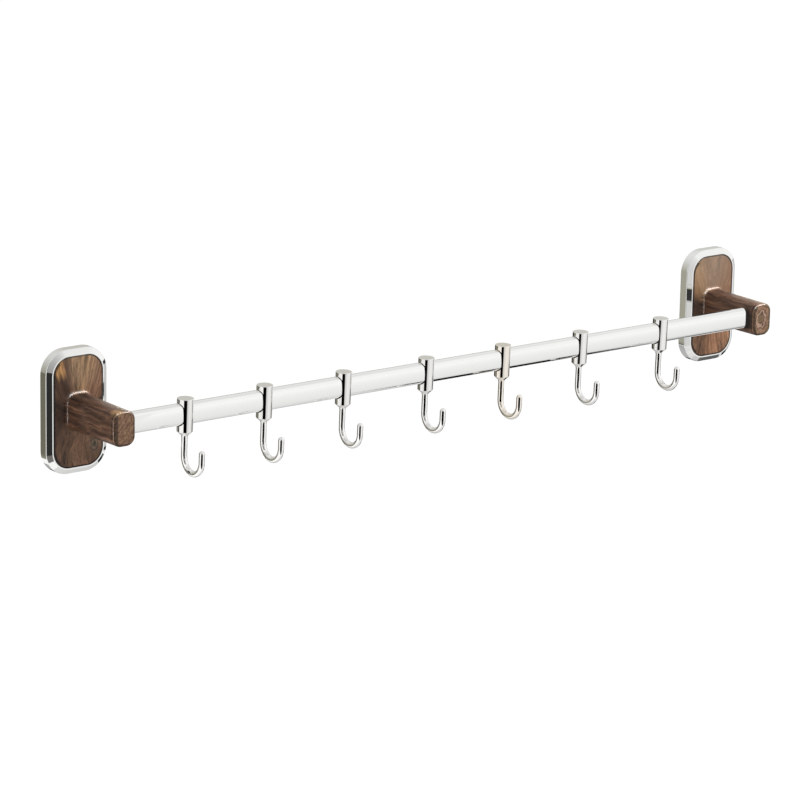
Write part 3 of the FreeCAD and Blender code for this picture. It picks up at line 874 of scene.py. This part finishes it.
class Nodes:
    """A node tree that is filled node by node; an input is set by a value or linked from another socket."""

    def __init__(self, tree):
        """Takes the tree to fill."""
        self.tree = tree

    def add(self, kind, inputs=None, **settings):
        """New node of a kind, with its settings and inputs."""
        node = self.tree.nodes.new(kind)
        for name, value in settings.items():
            setattr(node, name, value)
        for socket, value in (inputs or {}).items():
            self.put(node, socket, value)
        return node

    def put(self, node, socket, value):
        """Sets an input, or links it if the value is a socket."""
        if isinstance(value, bpy.types.NodeSocket):
            self.tree.links.new(value, node.inputs[socket])
        else:
            node.inputs[socket].default_value = value

    def math(self, operation, first, second=0.0):
        """Result of one sum on two values."""
        return self.add("ShaderNodeMath", {0: first, 1: second}, operation=operation).outputs["Value"]

    def product(self, first, *others):
        """Product of two or more values."""
        for other in others:
            first = self.math("MULTIPLY", first, other)
        return first

    def eased(self, tone, share):
        """A tone brought nearer to 1: tone (1 - share) + share."""
        return self.math("ADD", self.product(tone, self.math("SUBTRACT", 1.0, share)), share)

    def toned(self, tone, share, factor):
        """A tone changed by a factor on a share of the surface: tone (1 + share (factor - 1))."""
        change = self.product(share, self.math("SUBTRACT", factor, 1.0))
        return self.product(tone, self.math("ADD", change, 1.0))

    def vector(self, operation, inputs):
        """Result of one sum on vectors."""
        return self.add("ShaderNodeVectorMath", inputs, operation=operation).outputs["Vector"]

    def length(self, vector):
        """Length of a vector."""
        return self.add("ShaderNodeVectorMath", {0: vector}, operation="LENGTH").outputs["Value"]

    def axes(self, vector):
        """The three parts of a vector."""
        outputs = self.add("ShaderNodeSeparateXYZ", {"Vector": vector}).outputs
        return outputs["X"], outputs["Y"], outputs["Z"]

    def attribute(self, name):
        """A vector of the mesh by its name."""
        return self.add("ShaderNodeAttribute", attribute_name=name).outputs["Vector"]

    def spot(self):
        """Place on the object."""
        return self.add("ShaderNodeTexCoord").outputs["Object"]

    def span(self, value, low, high, to_low=0.0, to_high=1.0):
        """A value carried from one range to another, held at its ends."""
        inputs = {"Value": value, "From Min": low, "From Max": high, "To Min": to_low, "To Max": to_high}
        return self.add("ShaderNodeMapRange", inputs).outputs["Result"]

    def noise(self, vector, scale, detail, roughness=0.5):
        """Noise from 0 to 1 about 0.5."""
        inputs = {"Vector": vector, "Scale": scale, "Detail": detail, "Roughness": roughness}
        return self.add("ShaderNodeTexNoise", inputs).outputs["Fac"]

    def mapped(self, vector, scale, location=(0, 0, 0)):
        """A vector scaled and then moved."""
        inputs = {"Vector": vector, "Scale": scale, "Location": location}
        return self.add("ShaderNodeMapping", inputs).outputs["Vector"]

    def mix(self, factor, first, second, blend="MIX"):
        """Two colours mixed by a factor."""
        inputs = {"Factor": factor, "A": first, "B": second}
        return self.add("ShaderNodeMix", inputs, data_type="RGBA", blend_type=blend).outputs["Result"]

    def ramp(self, value, stops):
        """Colour ramp through (position, colour) stops."""
        node = self.add("ShaderNodeValToRGB", {"Fac": value})
        elements = node.color_ramp.elements
        while len(elements) < len(stops):
            elements.new(1.0)
        for element, (position, colour) in zip(elements, stops):
            element.position = position
            element.color = (*colour, 1)
        return node.outputs["Color"]


def new_material(name):
    """Node material, its nodes and its Principled shader."""
    material = bpy.data.materials.new(name)
    material.use_nodes = True
    return material, Nodes(material.node_tree), material.node_tree.nodes["Principled BSDF"]


def chrome(name, colour):
    """Polished chrome: a clear mirror with a faint haze that varies over the surface."""
    material, nodes, shader = new_material(name)
    haze = nodes.noise(nodes.spot(), *HAZE_NOISE)
    nodes.put(shader, "Base Color", (*colour, 1))
    nodes.put(shader, "Metallic", 1.0)
    nodes.put(shader, "Roughness", nodes.span(haze, 0, 1, *HAZE_ROUGHNESS))
    return material


def plain(name, colour, roughness, metallic):
    """Mottled finish for pieces behind the bezels, and for the recesses and bores, which are painted dark as
    shade.
    """
    material, nodes, shader = new_material(name)
    darker = tuple(MOTTLE_TONE * part for part in colour)
    mottle = nodes.noise(nodes.spot(), *MOTTLE_NOISE)
    nodes.put(shader, "Base Color", nodes.mix(mottle, (*darker, 1), (*colour, 1)))
    nodes.put(shader, "Roughness", roughness)
    nodes.put(shader, "Metallic", metallic)
    return material


def grain_group():
    """Grain of the film from its coordinates: broad streaks, fine lines and pores, each from 0 to 1."""
    tree = bpy.data.node_groups.new("film_grain", "ShaderNodeTree")
    tree.interface.new_socket("Film", in_out="INPUT", socket_type="NodeSocketVector")
    nodes = Nodes(tree)
    film = nodes.add("NodeGroupInput").outputs["Film"]
    masks = {}
    for name, layer in GRAIN.items():
        tree.interface.new_socket(name, in_out="OUTPUT", socket_type="NodeSocketFloat")
        noise = nodes.noise(nodes.mapped(film, layer["scale"]), 1, layer["detail"], layer["roughness"])
        masks[name] = nodes.span(noise, *layer["range"])
    nodes.add("NodeGroupOutput", masks)
    return tree


def swirled_film(nodes, spot, height, side):
    """The film's coordinates, pushed about by a noise whose share changes with the height."""
    swirl = nodes.add("ShaderNodeTexNoise", {"Vector": spot, **SWIRL_NOISE}).outputs["Color"]
    bend = nodes.vector("SUBTRACT", {0: swirl, 1: (0.5, 0.5, 0.5)})
    share = nodes.span(height, *SWIRL_HEIGHTS, *SWIRL_SHARES[side])
    push = nodes.mapped(nodes.vector("SCALE", {0: bend, "Scale": share}), FILM_SWIRL)
    return nodes.vector("ADD", {0: nodes.attribute("film"), 1: push})


def face_colour(nodes, spot, clock, side):
    """Colours round the arm by clock angle, with the inner end of the amber streak and the knot."""
    stops = FACE_STOPS[side]
    colour = nodes.ramp(clock, stops)
    if side in AMBER:
        amber = AMBER[side]
        first, last = amber["stops"]
        inner_stops = [(turn, amber["inner"] if first <= turn <= last else part) for turn, part in stops]
        radius = nodes.length(nodes.mapped(spot, (1, 0, 1)))
        colour = nodes.mix(nodes.span(radius, *amber["radii"]), nodes.ramp(clock, inner_stops), colour)
    if side in KNOTS:
        x, z, half_width, half_height = KNOTS[side]
        knot = nodes.mapped(spot, (1 / half_width, 0, 1 / half_height),
                            (-x / half_width, 0, -z / half_height))
        wander = nodes.span(nodes.noise(spot, *KNOT_NOISE), 0, 1, -KNOT_WANDER, KNOT_WANDER)
        spread = nodes.math("ADD", nodes.length(knot), wander)
        figure = nodes.ramp(nodes.span(spread, 0, KNOT_REACH), KNOT_STOPS)
        colour = nodes.mix(nodes.span(spread, *KNOT_FADE, 1.0, 0.0), colour, figure)
    return colour


def tip_colour(nodes, spot, side):
    """Rings about a centre, with frequency times distance plus wander times noise as their phase."""
    tip = TIP_FIGURE[side]
    distance = nodes.length(nodes.mapped(spot, tip["frequency"], tip["shift"]))
    drift = nodes.noise(nodes.mapped(spot, tip["drift"]), **TIP_DRIFT)
    phase = nodes.math("ADD", distance, nodes.span(drift, 0, 1, -tip["wander"], tip["wander"]))
    return nodes.ramp(nodes.math("FRACT", phase), TIP_STOPS[side])


def highlighted(nodes, spot, colour, highlight):
    """A colour with a soft oval patch of another one, as a painted highlight."""
    scale = [1 / (size * MM) for size in highlight["size"]]
    shift = [-centre / size for centre, size in zip(highlight["spot"], highlight["size"])]
    spread = nodes.length(nodes.mapped(spot, scale, shift))
    return nodes.mix(nodes.span(spread, *HIGHLIGHT_FADE, HIGHLIGHT_SHARE, 0.0), colour, (*highlight["colour"], 1))


def band_tone(nodes, from_tip, band):
    """Tone through the stops of a band round the tip's edge; the ramp holds shares of the highest tone."""
    first = band[0][0]
    last = band[-1][0]
    stops = [((place - first) / (last - first), as_colour(tone / BAND_TOP)) for place, tone in band]
    along = nodes.span(from_tip, TIP_RIM + first * MM, TIP_RIM + last * MM)
    return nodes.product(nodes.ramp(along, stops), BAND_TOP)


def seat_shade(nodes, spot, across, side):
    """Share of painted shade in a soft oval on the arm's inner side, where the bar goes in."""
    half_depth, half_height = SEAT_SHADE
    seat = nodes.mapped(spot, (0, 1 / half_depth, 1 / half_height), (0, SEAT_SHADE_OUT / half_depth, 0))
    inner = nodes.span(across, 0, INNER_SIDE[side])
    return nodes.product(inner, nodes.span(nodes.length(seat), *SEAT_FADE, SEAT_DARK, 0.0))


def walnut(name, grain, side):
    """Walnut film under a thin semi-gloss coat.

    The face's colours go round the arm by clock angle, 0.5 + atan2(x, z) / turn, so that 0.5 is up and 0.75
    is right; the arm has darker lengthwise grain, and the tip its own figure, with a painted sheen on the
    arm's top and a painted highlight by the left tip. A tone of grain, painted shade and painted highlights
    then multiplies the colour."""
    material, nodes, shader = new_material(name)
    low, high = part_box(f"bezel_{side}")
    spot = nodes.mapped(nodes.spot(), (1, 1, 1), (-(low.x + high.x) / 2, 0, 0))
    across, inward, height = nodes.axes(spot)
    out = nodes.product(inward, -1.0)
    from_tip = nodes.axes(nodes.attribute("film"))[2]
    group = nodes.add("ShaderNodeGroup", node_tree=grain)
    nodes.put(group, "Film", swirled_film(nodes, spot, height, side))
    streaks = group.outputs["Streaks"]
    lines = group.outputs["Lines"]
    on_arm = nodes.span(out, *ARM_FADE)
    at_tip = nodes.span(out, *TIP_FADE)

    bent_x = nodes.math("ADD", across, nodes.span(streaks, 0, 1, -CLOCK_WANDER, CLOCK_WANDER))
    clock = nodes.span(nodes.math("ARCTAN2", bent_x, height), -math.pi, math.pi)
    colour = nodes.mix(on_arm, face_colour(nodes, spot, clock, side), nodes.ramp(streaks, ARM_STOPS))
    # Painted sheen: a pale colour on the arm's top by its far edge, growing towards the tip.
    top_sheen = nodes.product(nodes.span(across, *TOP_SHEEN_SIDE), nodes.span(height, *TOP_SHEEN_HEIGHT),
                         nodes.span(out, *TOP_SHEEN_REACH, 0.0, TOP_SHEEN_SHARE))
    colour = nodes.mix(top_sheen, colour, (*TOP_SHEEN_COLOUR, 1))
    colour = nodes.mix(at_tip, colour, tip_colour(nodes, spot, side))
    # Painted highlight: an amber patch by the left tip's top corner.
    if side in TIP_HIGHLIGHT:
        colour = highlighted(nodes, spot, colour, TIP_HIGHLIGHT[side])

    tone = nodes.product(nodes.span(streaks, 0, 1, *STREAK_TONE), nodes.span(lines, 0, 1, *LINE_TONE[side]),
                         nodes.span(group.outputs["Pores"], 0, 1, 1.0, PORE_TONE))
    face_quiet, arm_quiet = QUIET[side]
    upper_quiet = nodes.span(height, *QUIET_HEIGHTS, 0.0, face_quiet)
    on_face = nodes.product(upper_quiet, nodes.math("SUBTRACT", 1.0, on_arm))
    tone = nodes.eased(tone, nodes.math("MAXIMUM", on_face, nodes.product(on_arm, arm_quiet)))
    # Painted shade near the foot and painted sheen towards the tip, on the arm's top.
    top_shade_sheen = nodes.product(on_arm, nodes.span(height, *TOP_SHADE_SHEEN_HEIGHTS))
    tone = nodes.toned(tone, top_shade_sheen, nodes.span(out, *TOP_SHADE_SHEEN_REACH, *TOP_SHADE_SHEEN_TONE[side]))
    tone = nodes.eased(tone, at_tip)
    # Round the tip's edge on the left-facing side: a dark seam on the arm's side, a painted highlight on the
    # rounding, and painted shade over the rest of the rounding and the tip's rim.
    tone = nodes.toned(tone, nodes.span(across, *TIP_SEAM_SHADE_HIGHLIGHT_SIDE), band_tone(nodes, from_tip, TIP_SEAM_SHADE_HIGHLIGHT[side]))
    # Painted shade round the tip's right and lower edges.
    far_shade = nodes.math("MAXIMUM", nodes.span(across, *TIP_FAR_SHADE_SIDE), nodes.span(height, *TIP_FAR_SHADE_LOW))
    tone = nodes.toned(tone, far_shade, band_tone(nodes, from_tip, TIP_FAR_SHADE))
    # Painted shade on the face's rounded edge, and at the bar's seat on the arm's inner side
    edge = nodes.axes(nodes.attribute("edge"))[0]
    lit = nodes.math("SUBTRACT", 1.0, seat_shade(nodes, spot, across, side))
    tone = nodes.product(tone, nodes.span(edge, 0, 1, 1.0, EDGE_SHADE_TONE), lit)
    toned = nodes.add("ShaderNodeCombineColor", {0: tone, 1: tone, 2: tone}).outputs["Color"]

    nodes.put(shader, "Base Color", nodes.mix(1.0, colour, toned, "MULTIPLY"))
    nodes.put(shader, "Roughness", nodes.span(lines, 0, 1, *FILM_ROUGHNESS))
    nodes.put(shader, "Specular IOR Level", FILM_SPECULAR)
    nodes.put(shader, "Coat Weight", FILM_COAT)
    nodes.put(shader, "Coat Roughness", FILM_COAT_ROUGHNESS)
    bump = nodes.add("ShaderNodeBump", {"Strength": FILM_BUMP, "Distance": FILM_BUMP_HEIGHT, "Height": lines})
    nodes.put(shader, "Normal", bump.outputs["Normal"])
    return material


# Studio


def card(name, corners, tones, seen_by=None):
    """Flat stage card seen only in mirrors, with a tone at each corner; black to pieces not in seen_by."""
    mesh = bpy.data.meshes.new(name)
    mesh.from_pydata([tuple(corner) for corner in corners], [], [(0, 1, 2, 3)])
    attribute = mesh.attributes.new("tone", "FLOAT_COLOR", "POINT")
    attribute.data.foreach_set("color", [part for tone in tones for part in (*as_colour(tone), 1.0)])
    obj = bpy.data.objects.new(name, mesh)
    bpy.context.scene.collection.objects.link(obj)
    material = bpy.data.materials.new(name)
    material.use_nodes = True
    material.node_tree.nodes.clear()
    nodes = Nodes(material.node_tree)
    tone = nodes.add("ShaderNodeAttribute", attribute_name="tone").outputs["Color"]
    glow = nodes.add("ShaderNodeEmission", {"Color": tone})
    nodes.add("ShaderNodeOutputMaterial", {"Surface": glow.outputs["Emission"]})
    mesh.materials.append(material)
    obj.visible_camera = False
    obj.visible_diffuse = False
    obj.visible_shadow = False
    if seen_by is not None:
        obj.light_linking.receiver_collection = receivers[seen_by]


def upright_card(name, y, x_span, z_span, left, right, seen_by):
    """Card that faces along Y, from a tone at its left edge to a tone at its right edge."""
    (x0, x1), (z0, z1) = x_span, z_span
    card(name, [(x0, y, z0), (x1, y, z0), (x1, y, z1), (x0, y, z1)], [left, right, right, left], seen_by)


def level_card(name, z, x_span, y_span, near, far, seen_by):
    """Card that lies level, from a tone at its near edge to a tone at its far edge."""
    (x0, x1), (y0, y1) = x_span, y_span
    card(name, [(x0, y0, z), (x1, y0, z), (x1, y1, z), (x0, y1, z)], [near, near, far, far], seen_by)


def side_card(name, x, y_span, z_span, tone):
    """Card of one tone that faces along X."""
    (y0, y1), (z0, z1) = y_span, z_span
    card(name, [(x, y0, z0), (x, y1, z0), (x, y1, z1), (x, y0, z1)], [tone] * 4)


def bent_line(name, tone, spans):
    """Level line in two cards of one tone, with an x span at each of its depths."""
    edges = [[(x, y, HIGHEST) for x in span] for span, y in zip(spans, LINE_Y)]
    for part, start, end in zip(("near", "far"), edges, edges[1:]):
        card(f"{name}_{part}", start + end[::-1], [tone] * 4)


def show_to(obj, names):
    """Puts a piece into the groups of pieces that see some of the cards and lights."""
    for name in names:
        receivers[name].objects.link(obj)


def seen_directly(nodes):
    """1 for camera, glossy and transmission rays, and 0 for light that falls on a surface."""
    path = nodes.add("ShaderNodeLightPath").outputs
    mirrored = nodes.math("MAXIMUM", path["Is Camera Ray"], path["Is Glossy Ray"])
    return nodes.math("MAXIMUM", mirrored, path["Is Transmission Ray"])


def make_floor():
    """White floor well below the hooks, under the whole view; a little glow for the eye keeps it white."""
    mesh = bpy.data.meshes.new("floor")
    signs = ((-1, -1), (1, -1), (1, 1), (-1, 1))
    corners = [(x * FLOOR_REACH, y * FLOOR_REACH, FLOOR_Z) for x, y in signs]
    mesh.from_pydata(corners, [], [(0, 1, 2, 3)])
    obj = bpy.data.objects.new("floor", mesh)
    bpy.context.scene.collection.objects.link(obj)
    material, nodes, shader = new_material("floor")
    nodes.put(shader, "Base Color", (*as_colour(FLOOR_TONE), 1))
    nodes.put(shader, "Roughness", 1.0)
    nodes.put(shader, "Specular IOR Level", 0.0)
    nodes.put(shader, "Emission Color", (*as_colour(WHITE), 1))
    nodes.put(shader, "Emission Strength", nodes.span(seen_directly(nodes), 0, 1, 0.0, FLOOR_GLOW))
    mesh.materials.append(material)


def make_world():
    """White studio: full white to the camera and to mirrors, softer as a light."""
    world = bpy.data.worlds.new("studio")
    bpy.context.scene.world = world
    world.use_nodes = True
    nodes = Nodes(world.node_tree)
    background = world.node_tree.nodes["Background"]
    nodes.put(background, "Color", (*as_colour(WHITE), 1))
    nodes.put(background, "Strength", nodes.span(seen_directly(nodes), 0, 1, WORLD_LIGHT, 1.0))


def make_camera():
    """Camera with its target in the image's middle, turned about its own axis by a small roll."""
    turn_x = math.sin(CAMERA_AZIMUTH)
    turn_y = math.cos(CAMERA_AZIMUTH)
    flat = math.cos(CAMERA_ELEVATION)
    ahead = np.array([turn_x * flat, turn_y * flat, -math.sin(CAMERA_ELEVATION)])
    level = np.array([turn_y, -turn_x, 0.0])
    upright = np.cross(level, ahead)
    right = math.cos(CAMERA_ROLL) * level + math.sin(CAMERA_ROLL) * upright
    up = math.cos(CAMERA_ROLL) * upright - math.sin(CAMERA_ROLL) * level
    eye = CAMERA_TARGET - CAMERA_DISTANCE * ahead
    data = bpy.data.cameras.new("camera")
    data.sensor_width = SENSOR_WIDTH
    data.lens = SENSOR_WIDTH * FOCAL_PIXELS / IMAGE_WIDTH
    data.clip_end = CAMERA_FAR
    camera = bpy.data.objects.new("camera", data)
    bpy.context.scene.collection.objects.link(camera)
    place(camera, right, up, -ahead, eye)
    bpy.context.scene.camera = camera


def place(obj, right, up, back, spot):
    """Stands an object at a spot, with its own axes along right, up and back."""
    axes = np.stack([right, up, back], 1)
    obj.matrix_world = Matrix([(*row, part) for row, part in zip(axes, spot)] + [(0, 0, 0, 1)])


def make_sun():
    """Soft sun from above, to the right and a little to the front."""
    data = bpy.data.lights.new("key", "SUN")
    data.energy = SUN_STRENGTH
    data.angle = SUN_ANGLE
    sun = bpy.data.objects.new("key", data)
    bpy.context.scene.collection.objects.link(sun)
    back = SUN_FROM / np.linalg.norm(SUN_FROM)
    right = np.cross(UP, back)
    right /= np.linalg.norm(right)
    place(sun, right, np.cross(back, right), back, SUN_FROM)
    sun.visible_glossy = False


def film_light(name, spot, right, up, size, glow):
    """Rectangular softbox that shows only as gloss on the film; a glow g needs g pi width height watts."""
    width, height = size
    data = bpy.data.lights.new(name, "AREA")
    data.shape = "RECTANGLE"
    data.size = width
    data.size_y = height
    data.energy = glow * math.pi * width * height
    light = bpy.data.objects.new(name, data)
    bpy.context.scene.collection.objects.link(light)
    place(light, right, up, np.cross(right, up), spot)
    light.visible_camera = False
    light.visible_diffuse = False
    light.light_linking.receiver_collection = receivers["film_pieces"]


# Putting it together
finish = {name: chrome(name, colour) for name, colour in CHROMES.items()}
finish.update({name: plain(name, *values) for name, values in HIDDEN.items()})
grain = grain_group()
receivers = {name: bpy.data.collections.new(name) for name in RECEIVERS}

show_to(make_bar(finish["bar_chrome"]), ["only_bar", "broad_pieces", "near_pieces"])
for side in SIDES:
    bezel = make_bezel(side, [finish["bezel_chrome"], finish["shaded_recess"]])
    show_to(bezel, ["broad_pieces", "near_pieces", "but_bar", "only_bezels"])
    arm = make_arm(side, walnut(f"walnut_{side}", grain, side))
    arm.visible_glossy = False
    show_to(arm, ["film_pieces", "broad_pieces", "near_pieces", "but_bar"])
    for kind, name in SOLID_FINISHES:
        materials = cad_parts[f"{kind}_{side}"].data.materials
        materials.clear()
        materials.append(finish[name])
for number in range(1, HOOK_COUNT + 1):
    warmth = "warm_" if number == WARM_HOOK else ""
    hook_body = make_hook_body(number, [finish[f"{warmth}hook_chrome"], finish["bore"]])
    show_to(hook_body, ["broad_pieces", "near_pieces", "but_bar"])
    hook_rod = make_hook_rod(number, finish[f"{warmth}rod_chrome"])
    show_to(hook_rod, ["near_pieces", "but_bar"] if number <= NEAR_HOOKS else ["but_bar"])

make_floor()
make_world()
make_camera()
make_sun()
for row in UPRIGHT_CARDS:
    upright_card(*row)
for row in LEVEL_CARDS:
    level_card(*row)
for name, (tone, spans) in LINES.items():
    bent_line(name, tone, spans)
for row in SIDE_CARDS:
    side_card(*row)
for row in CORNER_CARDS:
    card(*row)
for side in SIDES:
    low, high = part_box(f"arm_{side}")
    side_card(f"arm_core_{side}", (low.x + high.x) / 2, *ARM_CORE)
for name, settings in FILM_LIGHTS.items():
    film_light(name, **settings)
bpy.context.scene.view_settings.view_transform = "Standard"
